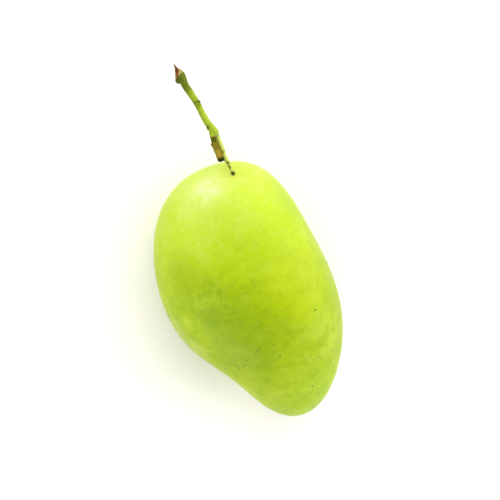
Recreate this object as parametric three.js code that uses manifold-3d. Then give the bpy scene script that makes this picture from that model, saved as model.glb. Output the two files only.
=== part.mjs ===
// A raw green mango, picked with a length of its stalk and lying on its flatter cheek.
// Millimetres, +Z up. The origin is on the surface that the fruit lies on, in the middle of the small flat
// spot under its centre of mass. The stalk points to +Y and the fruit's back, its fuller edge, to +X.

import * as THREE from "three";
import { mergeVertices } from "three/addons/utils/BufferGeometryUtils.js";
import Module from "manifold-3d";

const wasm = await Module();
wasm.setup();

// The fruit in its own frame: x across its broad side, y along it towards the stalk, z through the cheeks.
const HALF_BREADTH = 37.5;
const HALF_LENGTH = 60;
const HALF_THICKNESS = 33;

// How the outline of the broad side departs from an ellipse: shares of its radius, as waves of one to five
// lobes round it, each as its cosine and its sine part. They fade towards the middle of each cheek.
const OUTLINE_WAVES = [
  [0.045, 0], // the middle sits nearer to the belly than to the back
  [-0.005, -0.115], // the fruit leans: a high shoulder over the belly, and a nose drawn towards the back
  [-0.065, 0.025], // three corners: two shoulders and the nose
  [0.01, 0.005], // the shoulders a little squarer
  [0.005, -0.02], // the shallow hollow between belly and nose
];

// Shares by which the thickness departs from an ellipsoid's.
const STALK_END_FULLNESS = 0.1; // thicker at the stalk, thinner at the nose
const BACK_FULLNESS = 0.05; // thicker along the back, thinner along the belly
const FLANK_FULLNESS = 0.12; // flatter cheeks with fuller flanks

// The shallow basin that the stalk grows from, a little off the middle of the broad end.
const STALK_WAY = new THREE.Vector3(0.168, 0.972, 0.162).normalize();
const BASIN_DEPTH = 1.6;
const BASIN_REACH = 0.2; // of the fruit's half sizes

// Slight swells in the skin, as shares of the radius: the way each one runs, and where it starts.
const SWELL_HEIGHT = 0.004;
const SWELLS = [
  { run: new THREE.Vector3(2, 5, 0), start: 1 },
  { run: new THREE.Vector3(-3, 2, 4), start: 0 },
];

// How it lies in balance: the nose end dips, the back rises a little, and the cheek is flat where it rests.
const NOSE_DIP = THREE.MathUtils.degToRad(4.3);
const BACK_RISE = THREE.MathUtils.degToRad(3.6);
const FLAT_DEPTH = 0.6;

const SKIN_DETAIL = 16; // splits of each edge of the icosahedron that the skin is drawn on
const CLEARANCE = 0.3; // between pieces that grow against each other

// The stalk, in the fruit's frame. The main stalk carried a whole cluster: it runs from the torn end, where
// it was picked, down to the fork. There this fruit's own thinner stalk leaves it, and the rest of the main
// stalk has dried to a stub.
const FORK = [2.7, 76.2, 4.9];
const MAIN_STALK = {
  route: [
    [3.1, 74.6, 5.1],
    FORK,
    [0.9, 80.3, 4.6],
    [-0.3, 84.7, 4.2],
    [-1.4, 89.8, 3.8],
    [-3, 94.5, 3.3],
    [-4.35, 98.6, 3],
    [-4.8, 102.2, 2.7],
    [-5.8, 106.6, 2.3],
  ],
  radii: [[0, 1.3], [0.07, 1.7], [0.18, 1.5], [0.4, 1.4], [0.66, 1.55], [0.78, 1.65], [0.88, 1.85], [1, 1.6]],
  rings: [{ at: 0.5, height: 0.25, width: 0.012 }, { at: 0.11, height: 0.2, width: 0.02 }],
  lobes: 5,
  lobeHeight: 0.03,
  sides: 20,
  steps: 48,
};
const FRUIT_STALK = {
  route: [[6.5, 53.6, 7], [5.8, 57.4, 6.6], [5.1, 60.6, 6.4], [4.5, 64.6, 6.1], [4, 69.2, 5.8], [3.5, 72.9, 5.3], FORK],
  radii: [[0, 1], [0.17, 0.7], [0.28, 0.68], [0.5, 0.88], [0.7, 0.95], [0.88, 1.05], [1, 1.3]],
  rings: [{ at: 0.36, height: 0.2, width: 0.022 }, { at: 0.6, height: 0.15, width: 0.022 }],
  lobes: 4,
  lobeHeight: 0.03,
  sides: 12,
  steps: 32,
};
const DRIED_STUB = {
  route: [[2.2, 76, 5.1], [1.55, 73.6, 6.1], [1.45, 69.8, 7.2], [1.95, 66, 7.7], [2.5, 61, 7.9]],
  radii: [[0, 1.4], [0.2, 1.3], [0.45, 1.3], [0.7, 1.4], [1, 1.45]],
  rings: [{ at: 0.32, height: 0.25, width: 0.025 }],
  lobes: 5,
  lobeHeight: 0.08,
  sides: 20,
  steps: 22,
};
// The dried scale is what is left of a bud's cover: a pointed blade beside the torn end.
const DRIED_SCALE = {
  route: [[-7.1, 102.1, 3.9], [-6.6, 104.1, 4.3], [-6.05, 105.9, 3.6], [-6.4, 107.4, 2.9], [-6.8, 108.6, 2.3]],
  radii: [[0, 0.55], [0.25, 0.75], [0.5, 0.75], [0.8, 0.5], [1, 0.35]],
  rings: [],
  lobes: 2,
  lobeHeight: 0.18,
  sides: 12,
  steps: 16,
};

// Knobs on the stalk: the bud and the scars that it keeps, each a squashed ball.
const KNOBS = [
  { at: [-6.2, 101.2, 2.5], radii: [1.2, 1.5, 1.1] }, // the bud below the torn end
  { at: [3.3, 75.1, 6], radii: [0.95, 1.1, 0.9] }, // the scar of the cluster's next fruit
  { at: [-0.35, 90.2, 4.5], radii: [0.6, 0.7, 0.6] }, // a leaf scar on the ring
  { at: [0.35, 78.7, 4.8], radii: [0.6, 1.6, 0.8] }, // a long scar above the fork
];
const KNOB_DETAIL = 2;

// The tear that ends the main stalk and the cut that ends the stub both slant.
const TEAR = { at: [-5.2, 104.1, 2.6], faces: [0.2, 0.75, 0.63] };
const STUB_CUT = { at: [2.3, 63.8, 7.8], faces: [0.05, -0.78, 0.62] };
const CUTTER_SIZE = 12;

const PAINT = {
  skin: { color: 0xb5d629, roughness: 0.42 },
  greenStalk: { color: 0x94ac2c, roughness: 0.6 },
  dryWood: { color: 0x8f7434, roughness: 0.8 },
  dryScale: { color: 0x7c4526, roughness: 0.75 },
};

// A three.js geometry with its shared corners joined, which both the skin and the solids are made from.
function joined(geometry) {
  geometry.deleteAttribute("normal");
  geometry.deleteAttribute("uv");
  return mergeVertices(geometry, 1e-5);
}

function solid(geometry) {
  return new wasm.Manifold(
    new wasm.Mesh({
      numProp: 3,
      vertProperties: new Float32Array(geometry.attributes.position.array),
      triVerts: new Uint32Array(geometry.index.array),
    }),
  );
}

function geometryOf(made) {
  const { numProp, vertProperties, triVerts } = made.getMesh();
  const corners = new Float32Array((vertProperties.length / numProp) * 3);
  for (let i = 0; i * numProp < vertProperties.length; i++) {
    corners.set(vertProperties.subarray(i * numProp, i * numProp + 3), i * 3);
  }
  const geometry = new THREE.BufferGeometry();
  geometry.setAttribute("position", new THREE.BufferAttribute(corners, 3));
  geometry.setIndex(new THREE.BufferAttribute(triVerts, 1));
  geometry.computeVertexNormals();
  return geometry;
}

// Moves every corner of a geometry to where a function puts it.
function reshaped(geometry, placeOf) {
  const corners = geometry.attributes.position;
  const corner = new THREE.Vector3();
  for (let i = 0; i < corners.count; i++) {
    const { x, y, z } = placeOf(corner.fromBufferAttribute(corners, i));
    corners.setXYZ(i, x, y, z);
  }
  return geometry;
}

// The point of the skin in a given way from the fruit's middle, with every half size grown by a margin.
function skinPoint(way, grow = 0) {
  let radius = 1;
  let lobe = [1, 0];
  for (const [cosine, sine] of OUTLINE_WAVES) {
    lobe = [lobe[0] * way.x - lobe[1] * way.y, lobe[0] * way.y + lobe[1] * way.x];
    radius += cosine * lobe[0] + sine * lobe[1];
  }
  let swell = 1;
  for (const { run, start } of SWELLS) {
    swell += SWELL_HEIGHT * Math.sin(run.dot(way) + start);
  }
  const fullness =
    (1 + STALK_END_FULLNESS * way.y) * (1 + BACK_FULLNESS * way.x) * (1 + FLANK_FULLNESS * (1 - way.z ** 2));
  const basin = BASIN_DEPTH * Math.exp(-way.distanceToSquared(STALK_WAY) / BASIN_REACH ** 2);
  return new THREE.Vector3(
    (HALF_BREADTH + grow) * way.x * radius * swell,
    (HALF_LENGTH + grow) * way.y * radius * swell - basin,
    (HALF_THICKNESS + grow) * way.z * fullness * swell,
  );
}

function skinGeometry(grow = 0) {
  const ball = joined(new THREE.IcosahedronGeometry(1, SKIN_DETAIL));
  return reshaped(ball, (corner) => skinPoint(corner.normalize(), grow));
}

// Where a closed geometry's centre of mass is, from the tetrahedra between the middle and its faces.
function centreOfMass(geometry) {
  const corners = geometry.attributes.position;
  const faces = geometry.index.array;
  const [a, b, c] = [new THREE.Vector3(), new THREE.Vector3(), new THREE.Vector3()];
  const sum = new THREE.Vector3();
  let volume = 0;
  for (let i = 0; i < faces.length; i += 3) {
    [a, b, c].forEach((corner, k) => corner.fromBufferAttribute(corners, faces[i + k]));
    const share = a.dot(new THREE.Vector3().crossVectors(b, c));
    volume += share;
    sum.addScaledVector(a.add(b).add(c), share / 4);
  }
  return sum.divideScalar(volume);
}

// The move that lays the fruit down on its cheek, with its centre of mass over the origin.
function layingDown() {
  const tilt = new THREE.Matrix4().makeRotationFromEuler(new THREE.Euler(NOSE_DIP, -BACK_RISE, 0));
  const tilted = skinGeometry().applyMatrix4(tilt);
  tilted.computeBoundingBox();
  const middle = centreOfMass(tilted);
  const lift = -tilted.boundingBox.min.z - FLAT_DEPTH;
  return new THREE.Matrix4().makeTranslation(-middle.x, -middle.y, lift).multiply(tilt);
}

const LAID = layingDown();

function fruitGeometry() {
  const skin = skinGeometry().applyMatrix4(LAID);
  return reshaped(skin, ({ x, y, z }) => new THREE.Vector3(x, y, Math.max(z, 0)));
}

// A value that eases from one [place, value] pair to the next.
function eased(pairs, place) {
  const next = Math.max(1, pairs.findIndex(([at]) => at >= place));
  const [[from, low], [to, high]] = [pairs[next - 1], pairs[next]];
  return low + (high - low) * THREE.MathUtils.smoothstep(place, from, to);
}

// A stalk: a closed cylinder drawn along a smooth route, with its own thickness, rings and lengthwise lobes.
function stalk({ route, radii, rings, lobes, lobeHeight, sides, steps }, grow = 0) {
  const line = new THREE.CatmullRomCurve3(route.map((point) => new THREE.Vector3(...point)), false, "centripetal");
  const { normals, binormals } = line.computeFrenetFrames(steps, false);
  const cylinder = joined(new THREE.CylinderGeometry(1, 1, 1, sides, steps));
  return solid(
    reshaped(cylinder, ({ x, y, z }) => {
      const step = Math.round((y + 0.5) * steps);
      const place = step / steps;
      const ridge = 1 + lobeHeight * Math.cos(lobes * Math.atan2(z, x));
      const bulge = rings.reduce(
        (sum, { at, height, width }) => sum + height * Math.exp(-(((place - at) / width) ** 2)),
        0,
      );
      const radius = (eased(radii, place) + bulge) * ridge + grow;
      return line
        .getPointAt(place)
        .addScaledVector(normals[step], x * radius)
        .addScaledVector(binormals[step], -z * radius);
    }),
  );
}

function knob({ at, radii }, grow = 0) {
  const ball = joined(new THREE.IcosahedronGeometry(1, KNOB_DETAIL));
  ball.scale(...radii.map((radius) => radius + grow));
  return solid(ball.translate(...at));
}

// A large box whose one face is the given plane, raised a little, on the side that the plane faces.
function cutter({ at, faces }, raise = 0) {
  const box = joined(new THREE.BoxGeometry(CUTTER_SIZE, CUTTER_SIZE, CUTTER_SIZE));
  box.translate(0, 0, CUTTER_SIZE / 2 + raise);
  const turn = new THREE.Quaternion().setFromUnitVectors(
    new THREE.Vector3(0, 0, 1),
    new THREE.Vector3(...faces).normalize(),
  );
  return solid(box.applyQuaternion(turn).translate(...at));
}

// The main stalk, the fruit's own stalk and their knobs are one grown piece.
function stemSolid(grow = 0) {
  const parts = [stalk(MAIN_STALK, grow), stalk(FRUIT_STALK, grow), ...KNOBS.map((each) => knob(each, grow))];
  return parts.reduce((whole, each) => whole.add(each));
}

function stemGeometry() {
  const skin = solid(skinGeometry(CLEARANCE));
  return geometryOf(stemSolid().subtract(cutter(TEAR)).subtract(skin));
}

function stubGeometry() {
  return geometryOf(stalk(DRIED_STUB).subtract(stemSolid(CLEARANCE)).subtract(cutter(STUB_CUT)));
}

function scaleGeometry() {
  return geometryOf(stalk(DRIED_SCALE).subtract(stemSolid(CLEARANCE).subtract(cutter(TEAR, CLEARANCE))));
}

function mesh(name, geometry, { color, roughness }) {
  geometry.computeVertexNormals();
  const made = new THREE.Mesh(geometry, new THREE.MeshStandardMaterial({ color, roughness, metalness: 0 }));
  made.name = name;
  return made;
}

// The fruit is modelled as it lies. What grows on it stands in the fruit's own frame and is laid down with it.
const growth = new THREE.Group();
growth.applyMatrix4(LAID);
growth.add(mesh("stem", stemGeometry(), PAINT.greenStalk));
growth.add(mesh("dried_stub", stubGeometry(), PAINT.dryWood));
growth.add(mesh("dried_scale", scaleGeometry(), PAINT.dryScale));

const mango = new THREE.Group();
mango.add(mesh("fruit", fruitGeometry(), PAINT.skin));
mango.add(growth);

export default mango;
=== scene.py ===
# %% [markdown]
# A raw green mango with its stalk
# This lesson dresses the plain solids of a picked green mango with a skin, a stalk and light. The fruit lies
# on its flatter cheek. Its stalk points to +Y, its fuller back to +X, and the floor is at height zero.
# The frame holds the solids at their real size, and every piece made here stays where its solid is.

# %% Load the frame
import math

import bmesh
import bpy
import numpy as np
from mathutils import Matrix, Vector
from mathutils.bvhtree import BVHTree


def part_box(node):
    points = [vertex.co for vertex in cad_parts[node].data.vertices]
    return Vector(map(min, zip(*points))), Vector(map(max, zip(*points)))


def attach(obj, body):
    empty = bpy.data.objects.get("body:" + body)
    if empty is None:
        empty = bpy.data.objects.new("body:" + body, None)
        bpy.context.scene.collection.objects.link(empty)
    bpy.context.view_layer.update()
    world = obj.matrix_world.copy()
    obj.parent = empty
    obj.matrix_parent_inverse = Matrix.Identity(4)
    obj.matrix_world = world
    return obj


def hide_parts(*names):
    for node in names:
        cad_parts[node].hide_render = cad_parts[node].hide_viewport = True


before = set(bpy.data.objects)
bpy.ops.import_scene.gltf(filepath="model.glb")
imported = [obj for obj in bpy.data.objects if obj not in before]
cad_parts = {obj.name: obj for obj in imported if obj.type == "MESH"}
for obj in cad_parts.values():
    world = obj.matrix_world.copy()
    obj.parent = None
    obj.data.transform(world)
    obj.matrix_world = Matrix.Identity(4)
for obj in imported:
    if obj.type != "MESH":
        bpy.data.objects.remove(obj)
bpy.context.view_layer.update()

# %% [markdown]
# Sizes and colours
# Blender works in metres, and a fruit is measured in millimetres, so sizes are written in millimetres and
# turned to metres once, when a mesh is placed. Colours are written as the sRGB hex codes that a colour picker
# shows. A shader wants linear light, so one function turns them.

# %% Millimetres and colours
MM = 0.001


def colour(code):
    """An sRGB hex code as linear red, green, blue and alpha."""
    channels = [int(code[i : i + 2], 16) / 255 for i in (1, 3, 5)]
    linear = [c / 12.92 if c <= 0.04045 else ((c + 0.055) / 1.055) ** 2.4 for c in channels]
    return (*linear, 1.0)


print("leaf green in linear light:", [round(c, 3) for c in colour("#b9db33")])

# %% [markdown]
# Nodes from code
# A node tree is a recipe that can be read and changed later, which a fixed mesh is not. Adding a node takes
# the same three steps each time: make it, choose its settings, fill or link its inputs. One helper does
# that. The others start a Geometry Nodes tree with named inputs, end it, and run it into a plain mesh.


# %% Helpers for nodes
def add(tree, kind, inputs=None, **settings):
    """A new node's outputs. Each input's number or name comes with a value or the socket that feeds it."""
    node = tree.nodes.new(kind)
    for name, value in settings.items():
        setattr(node, name, value)
    for name, value in (inputs or {}).items():
        if isinstance(value, bpy.types.NodeSocket):
            tree.links.new(value, node.inputs[name])
        else:
            node.inputs[name].default_value = value
    return node.outputs


def new_tree(name, **inputs):
    """A Geometry Nodes tree with a geometry and inputs of these kinds, and the sockets that carry them."""
    tree = bpy.data.node_groups.new(name, "GeometryNodeTree")
    for kind, labels in {"Geometry": ["Geometry"], **inputs}.items():
        for label in labels:
            tree.interface.new_socket(label, in_out="INPUT", socket_type="NodeSocket" + kind)
    tree.interface.new_socket("Geometry", in_out="OUTPUT", socket_type="NodeSocketGeometry")
    return tree, add(tree, "NodeGroupInput")


def finish_tree(tree, geometry, material):
    """The ended tree: copies made real, smooth shading, and the material from the tree's own input."""
    real = add(tree, "GeometryNodeRealizeInstances", {"Geometry": geometry})[0]
    smooth = add(tree, "GeometryNodeSetShadeSmooth", {"Geometry": real})[0]
    painted = add(tree, "GeometryNodeSetMaterial", {"Geometry": smooth, "Material": material})[0]
    add(tree, "NodeGroupOutput", {"Geometry": painted})
    return tree


def new_object(name, data):
    """An object that shows a mesh, a curve, a camera or a light in the scene."""
    made = bpy.data.objects.new(name, data)
    bpy.context.scene.collection.objects.link(made)
    return made


def settled(holder):
    """The mesh that an object's modifiers make. The object itself goes."""
    graph = bpy.context.evaluated_depsgraph_get()
    mesh = bpy.data.meshes.new_from_object(holder.evaluated_get(graph), depsgraph=graph)
    bpy.data.objects.remove(holder)
    return mesh


def grown(tree, seed, **values):
    """The mesh that a tree makes of a seed curve or mesh. Underscores in a value's name stand for spaces."""
    holder = new_object(tree.name, seed)
    modifier = holder.modifiers.new(tree.name, "NODES")
    modifier.node_group = tree
    sockets = {item.name: item.identifier for item in tree.interface.items_tree if item.in_out == "INPUT"}
    for name, value in values.items():
        modifier[sockets[name.replace("_", " ")]] = value
    return settled(holder)


# %% [markdown]
# Sculpting by numbers
# Soft swells, dents and scars are easier to place on a finished mesh than to draw into it. A push moves the
# points near a place in or out along their normals, most in the middle and fading outwards, as a sculptor's
# brush does. It can reach further along one way than across it, which makes long scars and rings.


# %% Helpers for meshes
def points_of(mesh):
    """A mesh's points and normals as arrays with one row each."""
    places = np.empty(len(mesh.vertices) * 3, np.float32)
    normals = np.empty(len(mesh.vertices) * 3, np.float32)
    mesh.vertices.foreach_get("co", places)
    mesh.vertices.foreach_get("normal", normals)
    return places.reshape(-1, 3).astype(float), normals.reshape(-1, 3).astype(float)


def move_to(mesh, places):
    mesh.vertices.foreach_set("co", places.astype(np.float32).ravel())
    mesh.update()


def push(mesh, at, reach, height, along=(0, 1, 0), half=None):
    """Moves the points near a place by up to height along their normals. half is the reach along a way."""
    places, normals = points_of(mesh)
    way = np.array(Vector(along).normalized())
    offset = places - np.array(at)
    ahead = offset @ way
    across = np.linalg.norm(offset - ahead[:, None] * way, axis=1)
    share = np.exp(-((across / reach) ** 2) - (ahead / (half or reach)) ** 2)
    move_to(mesh, places + normals * (share * height)[:, None])


def piece_of(name, mesh, slot, *nodes):
    """A finished mesh as a piece of the object: it rides on the root body and stands for its solids."""
    mesh.name = name
    piece = new_object(name, mesh)
    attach(piece, "root")
    if nodes:
        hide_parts(*nodes)
    print(name, "has", sum(len(face.vertices) - 2 for face in mesh.polygons), "triangles")


# %% [markdown]
# The skin's finish
# The skin of a raw mango is a thin waxy coat over green flesh. It is smooth and a little glossy, and light
# goes a short way into it, which softens its shading. It is never one green: it pales towards the stalk and
# deepens towards the nose, clouds of lighter and darker green lie in it, fine dark scuffs come from rubbing
# against leaves, and tiny pale dots, through which it breathes, are spread all over. A photograph pasted on
# would slide and blur, so each of these is drawn by a formula, at its real size in millimetres.


# %% Helpers for materials, patterns and relief
def in_millimetres(tree):
    """The point being shaded, in millimetres in the object's own frame."""
    here = add(tree, "ShaderNodeTexCoord")["Object"]
    return add(tree, "ShaderNodeVectorMath", {0: here, "Scale": 1 / MM}, operation="SCALE")[0]


def new_material(name, **surface):
    """A material with its tree and its surface shader, whose constant inputs are set by name."""
    material = bpy.data.materials.new(name)
    material.use_nodes = True
    shader = material.node_tree.nodes["Principled BSDF"]
    for label, value in surface.items():
        shader.inputs[label.replace("_", " ")].default_value = value
    return material, material.node_tree, shader


def clouds(tree, here, size, low, high, seed, detail=3.0, stretch=(1, 1, 1)):
    """Soft patches about size millimetres across, as a mask that goes from 0 at low to 1 at high."""
    placing = {0: here, "Location": (seed, -seed, seed / 2), "Scale": stretch}
    moved = add(tree, "ShaderNodeMapping", placing)[0]
    noise = add(tree, "ShaderNodeTexNoise", {"Vector": moved, "Scale": 1 / size, "Detail": detail})[0]
    return add(tree, "ShaderNodeMapRange", {0: noise, 1: low, 2: high}, interpolation_type="SMOOTHSTEP")[0]


def spot(tree, here, at, size, edge):
    """A mask that is 1 within size millimetres of a place and fades to 0 over the edge."""
    apart = add(tree, "ShaderNodeVectorMath", {0: here, 1: tuple(at)}, operation="SUBTRACT")[0]
    away = add(tree, "ShaderNodeVectorMath", {0: apart}, operation="LENGTH")["Value"]
    reach = {0: away, 1: size, 2: size + edge, 3: 1.0, 4: 0.0}
    return add(tree, "ShaderNodeMapRange", reach, interpolation_type="SMOOTHSTEP")[0]


def coat(tree, base, mask, strength, code):
    """A colour laid over a base, which is a colour too, by a mask and at most as strongly as asked."""
    share = add(tree, "ShaderNodeMath", {0: mask, 1: strength}, operation="MULTIPLY")[0]
    return add(tree, "ShaderNodeMix", {0: share, 6: base, 7: colour(code)}, data_type="RGBA")[2]


def finish_surface(tree, shader, paint, here, grain, depth, **pattern):
    """Paint on the surface shader, and fine relief, in millimetres, that only bends the light."""
    tree.links.new(paint, shader.inputs["Base Color"])
    relief = clouds(tree, here, grain, 0.3, 0.7, **pattern)
    bump = add(tree, "ShaderNodeBump", {"Height": relief, "Strength": 1.0, "Distance": depth * MM})
    tree.links.new(bump["Normal"], shader.inputs["Normal"])


# %% [markdown]
# The fruit's form
# A mango is an ellipsoid that grew crooked, so it follows a rule. Its broad side is an ellipse whose radius
# swings in a few waves round its middle: one wave sets the middle off centre, two make it lean, three give
# it two shoulders and a nose. The waves die away towards the middle of each cheek. Subdividing and sculpting
# a cube by hand could look alike, but it would not match the solid. A Geometry Nodes tree works out the same
# rule for each point of a fine ball, with the sizes as its inputs.

# %% The fruit's rule
FRUIT_SIZES = {  # millimetres for lengths, shares of the radius for fullness, swells and the basin's reach
    "Half breadth": 37.5,
    "Half length": 60.0,
    "Half thickness": 33.0,
    "Stalk end fullness": 0.1,
    "Back fullness": 0.05,
    "Flank fullness": 0.12,
    "Swell height": 0.004,
    "Basin depth": 1.6,
    "Basin reach": 0.2,
    "Dimple depth": 0.35,
    "Dimple width": 7.0,
}
OUTLINE_WAVES = [(0.045, 0.0), (-0.005, -0.115), (-0.065, 0.025), (0.01, 0.005), (0.005, -0.02)]
SWELLS = [((2, 5, 0), 1), ((-3, 2, 4), 0)]
STALK_WAY = Vector((0.168, 0.972, 0.162)).normalized()
BALL_LEVEL = 7  # an icosahedron split six times, 82,000 triangles about a millimetre wide

# %% A tree that shapes a ball into the fruit
kinds = {"Float": FRUIT_SIZES, "Vector": ["Basin way"], "Int": ["Ball level"], "Material": ["Skin"]}
tree, given = new_tree("Mango body", **kinds)
round_skin = add(tree, "GeometryNodeMeshIcoSphere", {"Radius": 1.0, "Subdivisions": given["Ball level"]})[0]
position = add(tree, "GeometryNodeInputPosition")[0]
way = add(tree, "ShaderNodeVectorMath", {0: position}, operation="NORMALIZE")[0]
x, y, z = add(tree, "ShaderNodeSeparateXYZ", {0: way})

# %% The waves round the broad side
level = add(tree, "ShaderNodeCombineXYZ", {0: x, 1: y})[0]
outwards = add(tree, "ShaderNodeVectorMath", {0: level}, operation="LENGTH")["Value"]
turn = add(tree, "ShaderNodeMath", {0: y, 1: x}, operation="ARCTAN2")[0]
radius = 1.0
for lobes, (cosine_share, sine_share) in enumerate(OUTLINE_WAVES, start=1):
    angle = add(tree, "ShaderNodeMath", {0: turn, 1: lobes}, operation="MULTIPLY")[0]
    cosine = add(tree, "ShaderNodeMath", {0: angle}, operation="COSINE")[0]
    sine = add(tree, "ShaderNodeMath", {0: angle}, operation="SINE")[0]
    cosine_part = add(tree, "ShaderNodeMath", {0: cosine, 1: cosine_share}, operation="MULTIPLY")[0]
    both_parts = {0: sine, 1: sine_share, 2: cosine_part}
    wave = add(tree, "ShaderNodeMath", both_parts, operation="MULTIPLY_ADD")[0]
    fading = add(tree, "ShaderNodeMath", {0: outwards, 1: lobes}, operation="POWER")[0]
    radius = add(tree, "ShaderNodeMath", {0: wave, 1: fading, 2: radius}, operation="MULTIPLY_ADD")[0]
print("the outline swings in", len(OUTLINE_WAVES), "waves")

# %% The slight swells and the fullness
swell = 1.0
for run, start in SWELLS:
    phase = add(tree, "ShaderNodeVectorMath", {0: way, 1: run}, operation="DOT_PRODUCT")["Value"]
    shifted = add(tree, "ShaderNodeMath", {0: phase, 1: start}, operation="ADD")[0]
    height = add(tree, "ShaderNodeMath", {0: shifted}, operation="SINE")[0]
    swell_inputs = {0: height, 1: given["Swell height"], 2: swell}
    swell = add(tree, "ShaderNodeMath", swell_inputs, operation="MULTIPLY_ADD")[0]
flatness = add(tree, "ShaderNodeMath", {0: z, 1: z}, operation="MULTIPLY")[0]
flank = add(tree, "ShaderNodeMath", {0: 1.0, 1: flatness}, operation="SUBTRACT")[0]
thickness = swell
for share, place in (("Stalk end fullness", y), ("Back fullness", x), ("Flank fullness", flank)):
    fuller = {0: given[share], 1: place, 2: 1.0}
    fullness = add(tree, "ShaderNodeMath", fuller, operation="MULTIPLY_ADD")[0]
    thickness = add(tree, "ShaderNodeMath", {0: thickness, 1: fullness}, operation="MULTIPLY")[0]

# %% [markdown]
# The stalk grows from a shallow basin in the broad end. It is a smooth dent whose depth fades with the
# distance from its middle, as the bell curve does.

# %% The basin, and the ball's points moved to the skin
apart = add(tree, "ShaderNodeVectorMath", {0: way, 1: given["Basin way"]}, operation="DISTANCE")["Value"]
share = add(tree, "ShaderNodeMath", {0: apart, 1: given["Basin reach"]}, operation="DIVIDE")[0]
squared = add(tree, "ShaderNodeMath", {0: share, 1: share}, operation="MULTIPLY")[0]
falling = add(tree, "ShaderNodeMath", {0: squared, 1: -1.0}, operation="MULTIPLY")[0]
bell = add(tree, "ShaderNodeMath", {0: falling}, operation="EXPONENT")[0]
basin = add(tree, "ShaderNodeMath", {0: bell, 1: given["Basin depth"]}, operation="MULTIPLY")[0]
reach = add(tree, "ShaderNodeMath", {0: radius, 1: swell}, operation="MULTIPLY")[0]
formed = []
sides = ((x, reach, "Half breadth"), (y, reach, "Half length"), (z, thickness, "Half thickness"))
for share, form, half in sides:
    shaped = add(tree, "ShaderNodeMath", {0: share, 1: form}, operation="MULTIPLY")[0]
    formed.append(add(tree, "ShaderNodeMath", {0: shaped, 1: given[half]}, operation="MULTIPLY")[0])
side, end, cheek = formed
sunk = add(tree, "ShaderNodeMath", {0: end, 1: basin}, operation="SUBTRACT")[0]
skin_point = add(tree, "ShaderNodeCombineXYZ", {0: side, 1: sunk, 2: cheek})[0]
skinned = add(tree, "GeometryNodeSetPosition", {"Geometry": round_skin, "Position": skin_point})[0]

# %% [markdown]
# No skin is quite even. A soft noise, a few millimetres wide and about a tenth of a millimetre deep, dimples
# it along its normals. It is too shallow to see as a shape, and it breaks the gloss as the real skin does.

# %% The dimples
dimple_size = add(tree, "ShaderNodeMath", {0: 1.0, 1: given["Dimple width"]}, operation="DIVIDE")[0]
dimple = add(tree, "ShaderNodeTexNoise", {"Vector": skin_point, "Scale": dimple_size, "Detail": 1.0})[0]
from_middle = add(tree, "ShaderNodeMath", {0: dimple, 1: 0.5}, operation="SUBTRACT")[0]
deep = add(tree, "ShaderNodeMath", {0: from_middle, 1: given["Dimple depth"]}, operation="MULTIPLY")[0]
normal = add(tree, "GeometryNodeInputNormal")[0]
in_or_out = add(tree, "ShaderNodeVectorMath", {0: normal, "Scale": deep}, operation="SCALE")[0]
dimpled = add(tree, "GeometryNodeSetPosition", {"Geometry": skinned, "Offset": in_or_out})[0]
body_tree = finish_tree(tree, dimpled, given["Skin"])

# %% The fruit in its own frame, in millimetres
SKIN_ROUGHNESS = 0.42  # raw mango wax: a soft sheen, not a mirror
SKIN_IOR = 1.38  # thin plant wax over a damp skin, a little under bare wax
SKIN_SHINE = 0.14  # the bloom of dusty wax dulls the mirror part of the gloss
SKIN_BLOOM = 0.045  # the fine powder of wax that pales the skin where it is seen edge on
BLOOM_SPREAD = 0.45
BLOOM_TINT = "#eef2c0"
SKIN_GLOW = 0.1  # the share of the light that goes into the pale flesh and comes out beside its way in
FLESH_DEPTH = (0.003, 0.004, 0.001)  # metres that red, green and blue light go into the flesh

skin, skin_nodes, skin_shader = new_material(
    "waxy green mango skin",
    Roughness=SKIN_ROUGHNESS,
    IOR=SKIN_IOR,
    Specular_IOR_Level=SKIN_SHINE,
    Sheen_Weight=SKIN_BLOOM,
    Sheen_Roughness=BLOOM_SPREAD,
    Sheen_Tint=colour(BLOOM_TINT),
    Subsurface_Weight=SKIN_GLOW,
    Subsurface_Radius=FLESH_DEPTH,
    Subsurface_Scale=1.0,
)
seed = bpy.data.meshes.new("seed")
fruit_mesh = grown(body_tree, seed, **FRUIT_SIZES, Basin_way=STALK_WAY, Ball_level=BALL_LEVEL, Skin=skin)
print("the fruit's points:", len(fruit_mesh.vertices))

# %% [markdown]
# Round the stalk the skin is drawn into a few faint creases, and the nose keeps a small scar where the
# flower's style fell off. Each is a push: long and narrow for a crease, round for the scar.

# %% The creases of the basin and the scar on the nose
STALK_FOOT = Vector((6.1, 55.8, 6.6))
CREASES = 9
CREASE_DEPTH = 0.22
CREASE_REACH = (3.0, 7.5)  # millimetres from the stalk, where a crease starts and ends
CREASE_WIDTH = 1.0
CREASE_STRAY = 0.3  # the most that a crease strays from its even place, as a share of the gap between two
NOSE_SCAR_WIDTH = 1.6
NOSE_SCAR_DEPTH = 0.35

growth_draw = np.random.default_rng(5)
stalk_side = STALK_WAY.orthogonal().normalized()
for crease in range(CREASES):
    turn = math.tau * (crease + growth_draw.uniform(-CREASE_STRAY, CREASE_STRAY)) / CREASES
    outwards = Matrix.Rotation(turn, 3, STALK_WAY) @ stalk_side
    middle = STALK_FOOT + outwards * sum(CREASE_REACH) / 2
    half = (CREASE_REACH[1] - CREASE_REACH[0]) / 2
    push(fruit_mesh, middle, CREASE_WIDTH, -CREASE_DEPTH * growth_draw.uniform(0.5, 1), outwards, half)

places, _ = points_of(fruit_mesh)
nose_tip = places[places[:, 1].argmin()]
push(fruit_mesh, nose_tip, NOSE_SCAR_WIDTH, -NOSE_SCAR_DEPTH)
print("the nose ends at", nose_tip.round(1), "mm, and the basin has", CREASES, "creases")

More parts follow.
